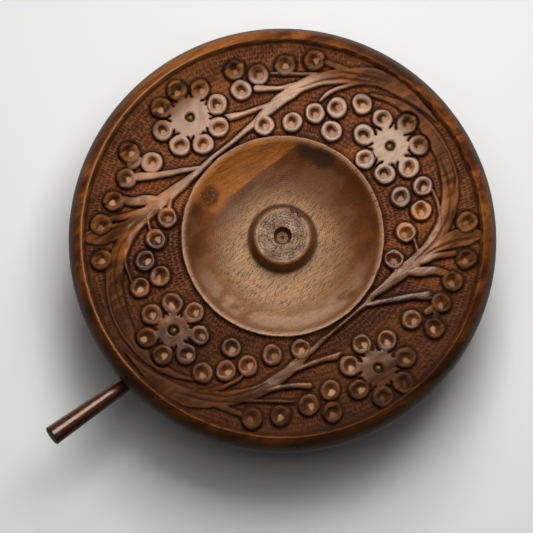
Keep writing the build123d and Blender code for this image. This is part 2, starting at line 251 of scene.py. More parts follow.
def punches(x, y):
    """Depth of the punch marks that roughen the sunk ground: short strokes in broken rows."""
    radius = np.hypot(x, y)
    turn = np.arctan2(y, x)
    row_height = 1.7
    pitch = 1.0
    row_place = radius / row_height
    depth = np.zeros(x.shape)
    for row_step in (-1, 0, 1):
        row = np.floor(row_place) + row_step
        row_radius = (row + 0.5) * row_height
        count = np.round(2 * np.pi * row_radius / pitch)
        stroke_place = turn / (2 * np.pi) * count + 0.37 * row
        for stroke_step in (-1, 0, 1):
            stroke = np.floor(stroke_place) + stroke_step
            mix = np.sin(row * 127.1 + np.mod(stroke, count) * 311.7) * 43758.5453
            first = mix - np.floor(mix)
            second = first * 57.31 - np.floor(first * 57.31)
            third = second * 91.7 - np.floor(second * 91.7)
            across = (stroke_place - stroke - 0.5 - 0.45 * (first - 0.5)) * pitch
            length = radius - row_radius - 0.7 * (second - 0.5)
            lean = (third - 0.5) * 1.5 * np.clip((67 - radius) / 8, 0.15, 1)
            side = across * np.cos(lean) - length * np.sin(lean)
            ahead = across * np.sin(lean) + length * np.cos(lean)
            pit = np.exp(-((side / 0.27) ** 2) - (ahead / 0.66) ** 4)
            depth = np.maximum(depth, pit * (0.65 + 0.35 * second))
    return depth


def blurred(grid, rings, turns):
    """Mean over a window of rings by turns, wrapped round the lid."""
    out = grid
    for axis, reach in ((0, rings), (1, turns)):
        total = np.zeros(out.shape)
        for step in range(-reach, reach + 1):
            if axis == 1:
                total += np.roll(out, step, 1)
            else:
                index = np.clip(np.arange(out.shape[0]) + step, 0, out.shape[0] - 1)
                total += out[index]
        out = total / (2 * reach + 1)
    return out


def side_drop(edge):
    """Fall of a raised shape's top near its outline. edge is below 0 inside the outline."""
    return CARVE_DEPTH * (1 - smooth(0.45 - edge / SIDE_WIDTH))


def stand_up(raised, top, edge):
    """Heights with one more raised shape on them."""
    return np.maximum(raised, np.where(edge < 0.4, top, -CARVE_DEPTH))


def carve_stems(x, y, raised, outline):
    """Stems and leaves, slightly hollow along the middle and falling towards the border."""
    radius = np.hypot(x, y)
    lean = sum(fall * np.clip(radius - low, 0, high - low) for low, high, fall in LEAF_SLOPES)
    for line in both_halves(STEMS):
        distance, width = along_curve(x, y, curve_points(line), reach=7)
        edge = distance - width / 2
        crown = 0.16 * np.clip(distance / np.maximum(width / 2, 0.3), 0, 1) ** 2
        raised = stand_up(raised, -crown - lean - 0.1 - side_drop(edge), edge)
        outline = np.minimum(outline, edge)
    for line in both_halves(VEINS):
        distance, depth = along_curve(x, y, curve_points(line), reach=2)
        cut = depth * np.exp(-((distance / VEIN_WIDTH) ** 2))
        raised = raised - np.where(raised > -1.6, cut, 0)
    return raised, outline


def carve_rosettes(x, y, raised, outline):
    """Hubs of the rosettes, with a lobe towards each berry and a drilled hole in the middle."""
    for rosette in ROSETTES:
        cx, cy = spot(*rosette["place"])
        dx, dy = x - cx, y - cy
        distance = np.hypot(dx, dy)
        turn = np.arctan2(dy, dx) - radians(rosette["phase"])
        lobe = 0.5 - 0.5 * np.cos(turn * rosette["berries"])
        nick = 0.2 * np.sin(turn * 5 + cx) + 0.14 * np.sin(turn * 13 + cy)
        edge = distance - (rosette["ring"] - 3.2 + 1.5 * lobe**2 + nick)
        hole_ring = 0.3 * np.exp(-(((distance - HUB_HOLE_RADIUS) / 0.28) ** 2))
        raised = stand_up(raised, -0.05 - side_drop(edge) - hole_ring, edge)
        raised = np.where(distance < HUB_HOLE_RADIUS, -CARVE_DEPTH, raised)
        outline = np.minimum(outline, edge)
    return raised, outline


def carve_berry(random, x, y, place, centre, raised, outline, bare):
    """Cuts one gouged berry into the arrays. centre is its rosette's middle, or None."""
    size = BERRY_RADIUS + random.uniform(-0.12, 0.16)
    shift = random.uniform(-0.22, 0.22, 2)
    squash = random.uniform(0.88, 1.12)
    turned = random.uniform(0, np.pi)
    lumps = random.uniform(0, 2 * np.pi, 3)
    deepest = GOUGE_BEARING + random.uniform(-0.5, 0.5) - turned
    veer = random.uniform(-0.5, 0.5)
    fresh = random.uniform(0.35, 1.0)

    dx, dy = x - place[0], y - place[1]
    near = np.hypot(dx, dy) < BERRY_REACH
    dx, dy = dx[near], dy[near]
    bearing = np.arctan2(dy, dx)
    outline_wave = 0.10 * np.sin(2 * bearing + lumps[0]) + 0.05 * np.sin(5 * bearing + lumps[1])
    edge = np.hypot(dx, dy) - size - outline_wave
    rounding = 0.25 * np.clip((edge + 0.6) / 0.6, 0, 1) ** 2
    top = -rounding - side_drop(edge)

    # the gouge: a leaning bowl with one facet that faces the light and gets a painted highlight.
    # hollow is 0 at its deepest, 1 at its lip
    gx = (dx - shift[0]) * cos(turned) + (dy - shift[1]) * sin(turned)
    gy = (dy - shift[1]) * cos(turned) - (dx - shift[0]) * sin(turned)
    apex = (GOUGE_LEAN * cos(deepest), GOUGE_LEAN * sin(deepest))
    gouge_wave = 1 + 0.08 * np.sin(2 * bearing + lumps[2]) + 0.02 * np.sin(4 * bearing + lumps[0])
    px = gx * squash / (GOUGE_RADIUS * gouge_wave) - apex[0]
    py = gy / squash / (GOUGE_RADIUS * gouge_wave) - apex[1]
    lean_in = px * apex[0] + py * apex[1]
    narrow = 1 - apex[0] ** 2 - apex[1] ** 2
    hollow = (lean_in + np.sqrt(lean_in**2 + narrow * (px**2 + py**2))) / narrow
    top = top - GOUGE_DEPTH * np.clip(1 - hollow**1.15, 0, 1)
    away = np.maximum(np.hypot(px, py), 1e-6)
    facing = -(px * cos(deepest + veer) + py * sin(deepest + veer)) / away
    facet = smooth((facing - 0.80) / 0.12) * smooth((hollow - 0.2) / 0.1)
    bare[near] = np.maximum(bare[near], facet * smooth((0.93 - hollow) / 0.08) * fresh)

    # a groove parts the berry from what stands beside it, except at its neck to the hub
    local = raised[near]
    if centre is not None:
        groove = np.exp(-(((edge - 0.35) / 0.33) ** 2))
        hx, hy = centre[0] - place[0], centre[1] - place[1]
        sideways = np.abs(dx * hy - dy * hx) / np.hypot(hx, hy)
        inward = (dx * hx + dy * hy) > 0
        groove = groove * np.where(inward, smooth((sideways - 1.3) / 0.6), 1)
        deepened = local - GROOVE_DEPTH * groove * (local > -GROOVE_DEPTH)
        local = np.where(edge > 0, deepened, local)
    neck = np.maximum(top, np.where(local > -1.4, local, top))
    top = np.where(hollow > 1, neck, top)
    raised[near] = np.where(edge < 0.2, np.maximum(top, -CARVE_DEPTH), local)
    outline[near] = np.minimum(outline[near], edge)


def carved_heights(x, y):
    """Height of the carved field against the lid's top, and masks of raised work and of the painted
    highlights on gouge facets.
    """
    x = x + HAND_WOBBLE * uneven(x, y, 8, SEED)
    y = y + HAND_WOBBLE * uneven(x, y, 8, SEED + 1)
    radius = np.hypot(x, y)
    raised = np.full(x.shape, -CARVE_DEPTH)
    outline = np.full(x.shape, 1e3)
    bare = np.zeros(x.shape)
    raised, outline = carve_stems(x, y, raised, outline)
    raised, outline = carve_rosettes(x, y, raised, outline)
    random = np.random.default_rng(SEED + 5)
    for place, centre in berry_places():
        carve_berry(random, x, y, place, centre, raised, outline, bare)

    # the sunk ground, punched all over, with a deeper moat beside everything that is raised
    beyond = np.clip(outline, 0, None)
    moat = MOAT_DEPTH * np.exp(-((beyond / 0.65) ** 2))
    marks = PUNCH_DEPTH * punches(x, y) * smooth((beyond - 0.25) / 0.5)
    floor_wave = 0.15 * uneven(x, y, 7, SEED + 2)
    ground = -CARVE_DEPTH - moat - marks + floor_wave
    on_ground = raised <= -CARVE_DEPTH + 0.02
    height = np.where(on_ground, ground, raised + 0.05 * uneven(x, y, 5, SEED + 3))
    height = np.maximum(height, -CARVE_DEPTH - 1.1)

    # the wall up to the rim, and the land beside the dish
    rise = np.clip((radius - WALL_FOOT_RADIUS) / (RIM_RADIUS - 0.25 - WALL_FOOT_RADIUS), 0, 1)
    border = -CARVE_DEPTH * (1 - rise)
    height = np.where(radius > WALL_FOOT_RADIUS - 0.2, np.maximum(height, border), height)
    inner = smooth((DISH_RADIUS + 0.55 - radius) / 0.5)
    land = -CARVE_DEPTH * (1 - inner)
    height = np.where(radius < DISH_RADIUS + 0.6, np.maximum(height, land), height)
    top_mask = smooth((height + 1.5) / 0.9)
    return np.minimum(height, 0), top_mask, bare


def arc(cx, cz, rx, rz, start, end, steps):
    """Points on an ellipse arc in a turned outline, angles in degrees from the outward axis."""
    angles = np.radians(np.linspace(start, end, steps))
    return [(cx + rx * cos(a), cz + rz * sin(a)) for a in angles]


def new_object(name, points, faces):
    """Object from points in millimetres."""
    mesh = bpy.data.meshes.new(name)
    mesh.from_pydata(np.asarray(points) * MM, [], faces)
    mesh.validate()
    mesh.polygons.foreach_set("use_smooth", np.ones(len(mesh.polygons), bool))
    made = bpy.data.objects.new(name, mesh)
    bpy.context.scene.collection.objects.link(made)
    return made


def ring_object(name, x, y, z, joined):
    """Object from rings of points. joined: the last ring meets the first, else both ends close."""
    rings, turns = x.shape
    points = np.stack([x, y, z], 2).reshape(-1, 3)
    index = np.arange(rings * turns).reshape(rings, turns)
    following = np.roll(index, -1, 0) if joined else index[1:]
    here = index if joined else index[:-1]
    quads = np.stack(
        [here, np.roll(here, -1, 1), np.roll(following, -1, 1), following], 2
    ).reshape(-1, 4)
    faces = quads.tolist()
    if not joined:
        ends = np.array([points[index[0]].mean(0), points[index[-1]].mean(0)])
        points = np.vstack([points, ends])
        first, last = rings * turns, rings * turns + 1
        for i in range(turns):
            j = (i + 1) % turns
            faces.append([first, int(index[0, j]), int(index[0, i])])
            faces.append([last, int(index[-1, i]), int(index[-1, j])])
    return new_object(name, points, faces)


def swept(outline, segments):
    """Radius, height and turn of every point of an outline of (radius, height) swept round."""
    outline = np.array(outline)
    turns = np.linspace(0, 2 * np.pi, segments, endpoint=False)
    radius = outline[:, :1] * np.ones(segments)
    height = outline[:, 1:] * np.ones(segments)
    return radius, height, turns


def turned_object(name, outline, segments, centre=(0, 0), wobble=0.0):
    """Object turned from an outline that ends on the axis, with a little hand-made wobble."""
    radius, height, turns = swept(outline, segments)
    radius = radius * (1 - wobble * (0.5 + 0.5 * np.sin(3 * turns + 0.7)))
    x = centre[0] + radius * np.cos(turns)
    y = centre[1] + radius * np.sin(turns)
    return ring_object(name, x, y, height, joined=False)


def dish_outline():
    """Half section of the dish from the knob out to the flat land beside the carved field."""
    points = []
    run_start, run_end = KNOB_BASE_RADIUS - 0.6, 33.0
    lip_power = 1.8
    drop = LID_TOP - DISH_FLOOR
    for t in np.linspace(0, 1, 46):
        rise = 0.62 * t**2.2 + 0.30 * t**6
        points.append((run_start + (run_end - run_start) * t, DISH_FLOOR + drop * rise))
    lip_radius, lip_height = points[-1]
    for t in np.linspace(0, 1, 14)[1:]:
        radius = lip_radius + (DISH_RADIUS - lip_radius) * t
        points.append((radius, LID_TOP - (LID_TOP - lip_height) * (1 - t) ** lip_power))
    return points


def lid_object():
    """The whole lid as one closed mesh, with masks for its material."""
    dish = [(SPIGOT_RADIUS, DISH_FLOOR)] + dish_outline()
    field = [(radius, 0) for radius in np.arange(DISH_RADIUS + 0.15, RIM_RADIUS, FIELD_STEP)]
    field[-1] = (RIM_RADIUS, 0)
    equator = (LID_TOP + LID_EDGE) / 2
    half = (LID_TOP - LID_EDGE) / 2
    rim_middle = 67.5
    seat_radius = 69.2
    rim_half = LID_RADIUS - rim_middle
    rim_start = degrees(acos((RIM_RADIUS - rim_middle) / rim_half))
    upper = arc(rim_middle, equator, rim_half, half + 0.35, rim_start, 0, 24)[1:]
    lower = arc(seat_radius, equator, LID_RADIUS - seat_radius, half, 0, -90, 20)[1:]
    under = [
        (LID_RECESS_RADIUS + 0.4, LID_EDGE), (LID_RECESS_RADIUS, LID_EDGE + 0.4),
        (LID_RECESS_RADIUS, LID_CEILING - 0.3), (LID_RECESS_RADIUS - 0.3, LID_CEILING),
        (45, LID_CEILING), (25, LID_CEILING), (SPIGOT_RADIUS, LID_CEILING),
    ]
    radius, z, turns = swept(dish + field + upper + lower + under, SEGMENTS)
    x = radius * np.cos(turns)
    y = radius * np.sin(turns)
    carved = slice(len(dish), len(dish) + len(field))
    height, top_mask, bare_cut = carved_heights(x[carved], y[carved])
    z[carved] = LID_TOP + height
    around = 1.1  # how far round a point its neighbours count, in millimetres
    sunk = blurred(height, int(round(around / FIELD_STEP)), 5) - height
    lid = ring_object("carved_lid", x, y, z, joined=True)
    for name, elsewhere, in_field in (
        ("hollow", 0, np.clip(sunk / around, -0.3, 1)), ("raised", 1, top_mask), ("bare", 0, bare_cut)
    ):
        values = np.full(z.shape, elsewhere, np.float32)
        values[carved] = in_field
        layer = lid.data.attributes.new(name, "FLOAT", "POINT")
        layer.data.foreach_set("value", values.ravel())
    return lid


def knob_object():
    """Knob with turning marks on its end-grain face and two small chips in its edge."""
    top_radius = 10.2
    bore_radius = 3.1
    bore_floor = KNOB_TOP - 4.8
    peg_hole_radius = 2.05
    spigot = SPIGOT_RADIUS - 0.1
    edge = 1.1
    face_radii = np.arange(3.5, top_radius - edge, 0.16)
    face = [(r, KNOB_TOP - 0.05 * (r - bore_radius) / 7) for r in face_radii]
    outline = [
        (peg_hole_radius, LID_CEILING), (spigot, LID_CEILING), (spigot, DISH_FLOOR + 0.02),
        (KNOB_BASE_RADIUS - 0.3, DISH_FLOOR + 0.02), (KNOB_BASE_RADIUS, DISH_FLOOR + 0.4),
    ]
    for t in np.linspace(0.05, 0.84, 18):
        pull = 1.0 * smooth(t * 1.6) + 0.25 * sin(np.pi * t)
        outline.append((KNOB_BASE_RADIUS - pull, DISH_FLOOR + (KNOB_TOP - DISH_FLOOR) * t))
    outline += arc(top_radius - edge, KNOB_TOP - edge, edge, edge, 0, 90, 10)
    outline += face[::-1]
    outline += arc(bore_radius + 0.25, KNOB_TOP - 0.25, 0.25, 0.25, 90, 180, 5)
    outline += [(bore_radius, bore_floor + 0.1), (bore_radius - 0.1, bore_floor)]
    outline += [(peg_hole_radius, bore_floor)]
    radius, height, turns = swept(outline, 360)
    x = radius * np.cos(turns)
    y = radius * np.sin(turns)
    on_face = (height > KNOB_TOP - 0.3) & (radius > bore_radius + 0.4)
    marks = 0.07 * np.sin(radius * 2 * np.pi / 0.95 + 0.6 * np.sin(turns * 2 + radius))
    marks = marks * (0.5 + 0.5 * np.sin(turns - 1.2 + 0.2 * radius))
    height = np.where(on_face, height + marks - 0.05, height)
    for angle, size in zip(CHIP_ANGLES, (1.25, 1.4)):
        cx, cy = spot(top_radius - 0.3, angle)
        bite = smooth((size - np.hypot(x - cx, y - cy)) / 0.4) * (height > KNOB_TOP - 2)
        height = height - 1.5 * bite * np.clip((height - KNOB_TOP + 2) / 2, 0, 1)
    return ring_object("turned_knob", x, y, height, joined=True)


def bowl_object():
    """Turned bowl with its shoulder, lip and foot; the notch for the spoon is cut afterwards."""
    cavity = 62.0
    floor = 8.0
    foot_height = 1.2
    corner = 14.0
    lip = 65.0
    foot_edge = 0.4
    shoulder_edge = 0.5
    lip_edge = 0.6
    groove = 0.6
    inner_corner = 2
    outline = [(18, 0), (36, 0)]
    outline += arc(52.6, foot_edge, foot_edge, foot_edge, 270, 360, 5) + [(53, foot_height)]
    outline += arc(BOWL_RADIUS - corner, foot_height + corner, corner, corner, -88, 0, 26)
    for line in (30.0, 33.0):
        outline += [(BOWL_RADIUS, line - 2 * groove)]
        outline += arc(BOWL_RADIUS, line, groove, groove, 270, 90, 9)
        outline += [(BOWL_RADIUS, line + 2 * groove)]
    outline += arc(BOWL_RADIUS - shoulder_edge, LID_EDGE - shoulder_edge, shoulder_edge,
                   shoulder_edge, 0, 90, 5)
    outline += [(lip + 0.3, LID_EDGE), (lip, LID_EDGE + 0.3)]
    outline += arc(lip - lip_edge, BOWL_TOP - lip_edge, lip_edge, lip_edge, 0, 90, 5)
    outline += arc(cavity + lip_edge, BOWL_TOP - lip_edge, lip_edge, lip_edge, 90, 180, 5)
    outline += [(cavity, 30)]
    outline += arc(cavity - inner_corner, floor + inner_corner, inner_corner, inner_corner,
                   0, -90, 7)
    outline += [(40, floor), (20, floor)]
    return turned_object("turned_bowl", outline, 480)


def cup_object(name, centre, seed):
    """One turned cup: rounded foot, faint turning lines, rounded rim."""
    wall = 1.8
    corner = 5.0
    line_depth = 0.22
    outline = [(8, CUP_BOTTOM)]
    outline += arc(CUP_RADIUS - corner, CUP_BOTTOM + corner, corner, corner, -90, 0, 14)
    for line in (CUP_BOTTOM + 12.0, CUP_BOTTOM + 13.4):
        outline += arc(CUP_RADIUS, line, line_depth, line_depth, 270, 90, 5)
    outline += arc(CUP_RADIUS - wall / 2, CUP_TOP - wall / 2, wall / 2, wall / 2, 0, 180, 11)
    inner = CUP_RADIUS - wall
    inner_corner = corner - wall / 2
    floor = CUP_BOTTOM + wall
    outline += arc(inner - inner_corner, floor + inner_corner, inner_corner, inner_corner, 0, -90, 12)
    outline += [(7, floor)]
    return turned_object(name, outline, 200, centre, wobble=0.002 + 0.001 * (seed % 3))


def cut_notch(bowl):
    """Cuts the spoon's notch where the CAD handle passes the bowl's wall."""
    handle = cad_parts["spoon_handle"]
    points = np.array([v.co for v in handle.data.vertices]) / MM
    middle = points.mean(0)
    direction = np.linalg.svd(points - middle, full_matrices=False)[2][0]
    direction = direction * np.sign(-direction[0])
    flat = np.array([direction[0], direction[1], 0])
    flat = flat / np.linalg.norm(flat)
    side = np.array([-flat[1], flat[0], 0])
    wall_middle = BOWL_RADIUS - 2
    run = np.linalg.norm(direction[:2])
    at_wall = middle + direction * ((wall_middle - np.linalg.norm(middle[:2])) / run)
    slope = direction[2] / run
    radius = 3.0
    above_bowl = 20
    past_wall = 13
    profile = arc(0, 0, radius, radius, 180, 360, 17)
    profile += [(radius, above_bowl), (-radius, above_bowl)]
    points = []
    for reach in (-past_wall, past_wall):
        base = at_wall + flat * reach + np.array([0, 0, slope * reach])
        for across, up in profile:
            points.append(base + side * across + np.array([0, 0, up]))
    count = len(profile)
    faces = [[i, (i + 1) % count, count + (i + 1) % count, count + i] for i in range(count)]
    faces += [list(range(count))[::-1], list(range(count, 2 * count))]
    cutter = new_object("notch_cutter", points, faces)
    cutter_mesh = bmesh.new()
    cutter_mesh.from_mesh(cutter.data)
    bmesh.ops.recalc_face_normals(cutter_mesh, faces=cutter_mesh.faces)
    cutter_mesh.to_mesh(cutter.data)
    cutter_mesh.free()
    cut = bowl.modifiers.new("notch", "BOOLEAN")
    cut.operation = "DIFFERENCE"
    cut.object = cutter
    cut.solver = "EXACT"
    bpy.context.view_layer.update()
    seen = bowl.evaluated_get(bpy.context.evaluated_depsgraph_get())
    result = bpy.data.meshes.new_from_object(seen)
    bowl.modifiers.clear()
    bowl.data = result
    bpy.data.objects.remove(cutter)


# Materials


def add(tree, kind, inputs=None, **settings):
    """Adds a shader node. Each input is a constant or a Value."""
    made = tree.nodes.new(kind)
    for name, value in settings.items():
        setattr(made, name, value)
    for key, value in (inputs or {}).items():
        if isinstance(value, Value):
            tree.links.new(value.socket, made.inputs[key])
        else:
            made.inputs[key].default_value = value
    return made


class Value:
    """Output of a new shader node. Arithmetic on it adds Math nodes."""

    def __init__(self, tree, kind, inputs=None, output=0, **settings):
        self.tree = tree
        self.socket = add(tree, kind, inputs, **settings).outputs[output]

    def math(self, operation, other=0.0, clamp=False):
        return Value(self.tree, "ShaderNodeMath", {0: self, 1: other}, operation=operation,
                     use_clamp=clamp)

    def __add__(self, other):
        return self.math("ADD", other)

    def __sub__(self, other):
        return self.math("SUBTRACT", other)

    def __rsub__(self, other):
        return Value(self.tree, "ShaderNodeMath", {0: other, 1: self}, operation="SUBTRACT")

    def __mul__(self, other):
        return self.math("MULTIPLY", other)


def greatest(first, *others):
    """Largest of several values."""
    for other in others:
        first = first.math("MAXIMUM", other)
    return first


def band(value, low, high):
    """Eased 0 to 1 as value goes from low to high."""
    return Value(value.tree, "ShaderNodeMapRange", {0: value, 1: low, 2: high},
                 interpolation_type="SMOOTHSTEP")


def bell(value, middle, width):
    """1 at the middle, falling to 0 at width away from it."""
    return band((value - middle).math("ABSOLUTE"), width, width * 0.25)


def tinted(colour, tone, share):
    """Colour drawn towards a tone by a share of 0 to 1."""
    other = tone if isinstance(tone, Value) else (*tone, 1)
    return Value(colour.tree, "ShaderNodeMix", {0: share, 6: colour, 7: other}, 2, data_type="RGBA")


def stretched(vector, scale):
    """Vector times a scale for each axis."""
    return Value(vector.tree, "ShaderNodeVectorMath", {0: vector, 1: scale}, operation="MULTIPLY")


def measured(operation, a, b=(0, 0, 0)):
    """Value from one or two vectors."""
    return Value(a.tree, "ShaderNodeVectorMath", {0: a, 1: b}, "Value", operation=operation)


def axis_distance(place):
    """Distance from the turning axis."""
    return measured("LENGTH", stretched(place, (1, 1, 0)))


def split(vector):
    """The three values of a vector."""
    return [Value(vector.tree, "ShaderNodeSeparateXYZ", {0: vector}, axis) for axis in range(3)]


def noise(vector, scale, detail=3.0, roughness=0.55, distortion=0.0):
    """Noise value, about 0 to 1. A smaller scale on an axis draws its features out."""
    return Value(
        vector.tree, "ShaderNodeTexNoise",
        {"Vector": stretched(vector, scale), "Scale": 1.0, "Detail": detail,
         "Roughness": roughness, "Distortion": distortion}, "Fac",
    )


def colours(value, *stops):
    """Colour ramp from (place, red, green, blue) stops."""
    made = Value(value.tree, "ShaderNodeValToRGB", {0: value})
    ramp = made.socket.node.color_ramp
    while len(ramp.elements) < len(stops):
        ramp.elements.new(0.5)
    for element, (place, *colour) in zip(ramp.elements, stops):
        element.position = place
        element.color = (*colour, 1)
    return made


def mesh_mask(tree, name):
    """Mask stored on the mesh."""
    return Value(tree, "ShaderNodeAttribute", None, "Fac", attribute_name=name)


def object_place(tree):
    """Place in millimetres in the frame of the model."""
    place = Value(tree, "ShaderNodeTexCoord", None, "Object")
    return stretched(place, (1 / MM, 1 / MM, 1 / MM))


def grain_frame(tree, turn, tilt=0.0, shift=(0, 0, 0)):
    """Place in millimetres, turned so that the grain runs along X and then shifted."""
    return Value(
        tree, "ShaderNodeMapping",
        {"Vector": Value(tree, "ShaderNodeTexCoord", None, "Object"), "Location": shift,
         "Rotation": (0, radians(tilt), radians(-turn)), "Scale": (1 / MM, 1 / MM, 1 / MM)},
    )


def wood_base(place, dark, mid, light, spread):
    """Rosewood colour, fibre value and pore mask at a place in grain coordinates."""
    figure = noise(place, (0.014, 0.11, 0.11), 6.0, 0.6, 0.7)
    blotch = noise(place, (0.05, 0.12, 0.12), 4.0, 0.6, 0.4)
    fibre = noise(place, (0.07, 1.5, 1.5), 4.0, 0.65)
    tone = figure * 0.55 + blotch * 0.30 + fibre * 0.15
    half = 0.17 * spread
    colour = colours(tone, (0.5 - half, *dark), (0.5, *mid), (0.5 + half, *light))
    pores = band(noise(place, (0.30, 3.4, 3.4), 2.0, 0.5), 0.60, 0.70)
    return tinted(colour, (0.02, 0.008, 0.004), pores * 0.55), fibre, pores


def new_material(name):
    """Empty node material and its tree."""
    material = bpy.data.materials.new(name)
    material.use_nodes = True
    material.node_tree.nodes.clear()
    return material, material.node_tree


def finish_material(colour, roughness, height, strength, reach=0.3, coat=0.0, gloss=0.5):
    """Principled surface with bump from a height value. reach is the bump's depth in mm."""
    tree = colour.tree
    bump = Value(tree, "ShaderNodeBump",
                 {"Strength": strength, "Distance": reach * MM, "Height": height})
    shader = add(
        tree, "ShaderNodeBsdfPrincipled",
        {"Base Color": colour, "Roughness": roughness, "Normal": bump, "Coat Weight": coat,
         "Coat Roughness": 0.22, "Specular IOR Level": gloss,
         "Specular Tint": (1.0, 0.80, 0.63, 1)},
    )
    output = add(tree, "ShaderNodeOutputMaterial")
    tree.links.new(shader.outputs[0], output.inputs[0])
    return shader


class LidShading:
    """The lid's colour as it is built up, with the places and masks that its parts share."""

    def __init__(self, tree):
        self.place = grain_frame(tree, GRAIN_ANGLE)
        self.colour, self.fibre, self.pores = wood_base(
            self.place, (0.020, 0.005, 0.0015), (0.098, 0.023, 0.005), (0.26, 0.078, 0.012), 0.5
        )
        self.along, self.across, _ = split(self.place)
        self.world = object_place(tree)
        self.x, self.y, z = split(self.world)
        self.radius = axis_distance(self.world)
        self.upper = band(z, LID_CEILING + 0.8, LID_CEILING + 1.8)
        self.in_dish = band(self.radius, 34.9, 34.2) * self.upper
        self.in_field = band(self.radius, 35.0, 35.6) * band(self.radius, 70.2, 69.4) * self.upper
        self.hollow = mesh_mask(tree, "hollow")
        self.raised = mesh_mask(tree, "raised")
        self.bare = mesh_mask(tree, "bare")
        self.ground = (1.0 - self.raised) * self.in_field

    def tint(self, tone, share):
        self.colour = tinted(self.colour, tone, share)

    def patch(self, place, inner, outer):
        """1 within the inner distance of a place on the dish, ragged out to the outer one."""
        away = measured("DISTANCE", self.world, (*place, LID_TOP - 4))
        return band(away + self.fibre * 2.0, outer, inner)


def add_sapwood(lid):
    """Pale sapwood: one streak in the dish, broader ones that cross the rim and the carving."""
    wander = noise(lid.place, (0.05, 0.05, 0.05))
    straight = lid.across + wander * 1.5
    wavy = lid.across + (wander - 0.5) * 9.0
    lid.streak_edge = straight - lid.along * 0.086
    dish_streak = (band(lid.streak_edge, 23.5, 24.2) * lid.in_dish
                   * band(lid.along, -20, -14) * band(lid.along, 24, 18))
    rim_streak = bell(wavy, 70.0, 9.0) * band(lid.along, -34, -10)
    root_streak = bell(wavy, -32.0, 10.0) * band(lid.along, 36, 52)
    sap = (dish_streak + rim_streak * 0.85).math("ADD", root_streak * 0.45, clamp=True)
    sap_tone = colours(lid.fibre, (0.3, 0.20, 0.052, 0.009), (0.7, 0.44, 0.155, 0.030))
    lid.tint((0.122, 0.037, 0.009), lid.in_dish * 0.6)
    lid.tint(sap_tone, sap * 0.85)


def add_dish_marks(lid):
    """Golden bottom with painted sheen, painted shade on the far side, clouds, a painted shadow round
    the knob, scraper marks, specks, a knot and dark stains, mostly in the dish.
    """
    # golden brown wood round the knob, reaching further on the lower side as painted sheen; painted
    # shade darkens the far side
    gold_reach = lid.radius + lid.y * 0.36
    gold_tone = colours(lid.fibre, (0.3, 0.165, 0.070, 0.021), (0.7, 0.43, 0.220, 0.082))
    lid.tint(gold_tone, band(gold_reach, 27, 12) * lid.in_dish * 0.86)
    far_side = lid.in_dish * band(lid.y, 3, 18) * band(lid.radius, 13, 23)
    lid.tint((0.065, 0.019, 0.006), far_side * band(lid.streak_edge, 23.6, 21.5) * 0.55)

    # clouds, and painted sheen under the dish's lower lip
    cloud = noise(lid.place, (0.07, 0.13, 0.13), 3.0, 0.6)
    lid.tint((0.15, 0.066, 0.027), band(cloud, 0.46, 0.62) * lid.in_dish * 0.45)
    flare = bell(lid.radius, 29.8, 4.2) * band(lid.y, -4, -24)
    lid.tint((0.42, 0.26, 0.17), flare * band(cloud, 0.66, 0.42) * 0.6)

    # painted shadow round the foot of the knob
    low_dirt = bell(lid.radius, 11.3, 2.0) * band(lid.y, 6, -4) * lid.in_dish * 0.75
    foot_line = bell(lid.radius, KNOB_BASE_RADIUS + 0.2, 1.5) * lid.in_dish * 0.85
    lid.dirt = greatest(low_dirt, foot_line)
    lid.tint((0.022, 0.010, 0.006), lid.dirt)

    # short scraper marks, and specks
    scraped = noise(grain_frame(lid.colour.tree, 57.0), (0.30, 2.4, 2.4), 1.0)
    lid.scratches = (band(scraped, 0.58, 0.66) * lid.in_dish * band(lid.radius, 29, 22)
                     * band(gold_reach, 26, 18))
    lid.tint((0.045, 0.020, 0.009), lid.scratches * 0.7)
    speckle = noise(lid.place, (0.9, 2.6, 2.6), 2.0, 0.7)
    lid.tint((0.055, 0.024, 0.011), band(speckle, 0.52, 0.66) * lid.in_dish * 0.4)

    # a knot with an orange halo and orange flecks, and dark stains
    lid.tint((0.34, 0.105, 0.018), lid.patch(KNOT, 5.0, 9.0) * band(cloud, 0.40, 0.60) * 0.8)
    stain = lid.patch(KNOT, 3.6, 6.0) + lid.patch((8.5, 31.2), 3.2, 5.6)
    stain = stain + lid.patch((15.0, 28.8), 4.4, 7.0) + lid.patch((-31.0, 9.5), 2.0, 5.5) * 0.7
    rim_mark = (bell(lid.y + lid.x * 0.6, 84.0, 4.5) * band(lid.radius, 69, 71)
                * band(lid.x, 20, 26) * 0.9)
    stain = stain.math("ADD", rim_mark, clamp=True)
    lid.tint((0.03, 0.014, 0.010), stain * 0.85)
    flecks = lid.patch((-27.5, 14.8), 4.2, 6.5) * band(speckle, 0.54, 0.60)
    lid.tint((0.34, 0.10, 0.02), flecks * 0.8)


def add_rim_shades(lid):
    """Painted shade on the near side and the outer slope of the rim, smoky streaks, a painted
    highlight on the border edge on the left, and a pale lip that is partly wear and partly painted
    highlight.
    """
    # painted shade: the rim darker on its near side
    lid.near_side = band(lid.y, 12, -45) * band(lid.radius, 69.9, 70.4) * 0.8
    lid.tint((0.018, 0.007, 0.003), lid.near_side)
    # painted shade on the outer slope of the rim, so that it looks rounder
    lid.outer_rim = band(lid.radius, 71.8, 74.4) * 0.7
    lid.tint((0.024, 0.010, 0.005), lid.outer_rim)
    figure = noise(lid.place, (0.03, 0.22, 0.22), 4.0, 0.6, 0.5)
    lid.tint((0.030, 0.011, 0.005), band(figure, 0.5, 0.64) * band(lid.radius, 69.8, 70.6) * 0.6)
    grainy = band(lid.fibre, 0.30, 0.50)
    # painted highlight along the border edge on the left
    lid.rubbed_side = band(lid.x, -22, -42) * band(lid.y, -58, -38)
    lid.tint((0.33, 0.125, 0.040), bell(lid.radius, 69.9, 0.9) * grainy * lid.rubbed_side * 0.75)
    # a pale lip round the dish: partly wear, partly painted highlight
    lid.tint((0.30, 0.14, 0.065), bell(lid.radius, 34.7, 1.3) * grainy * lid.upper * 0.6)


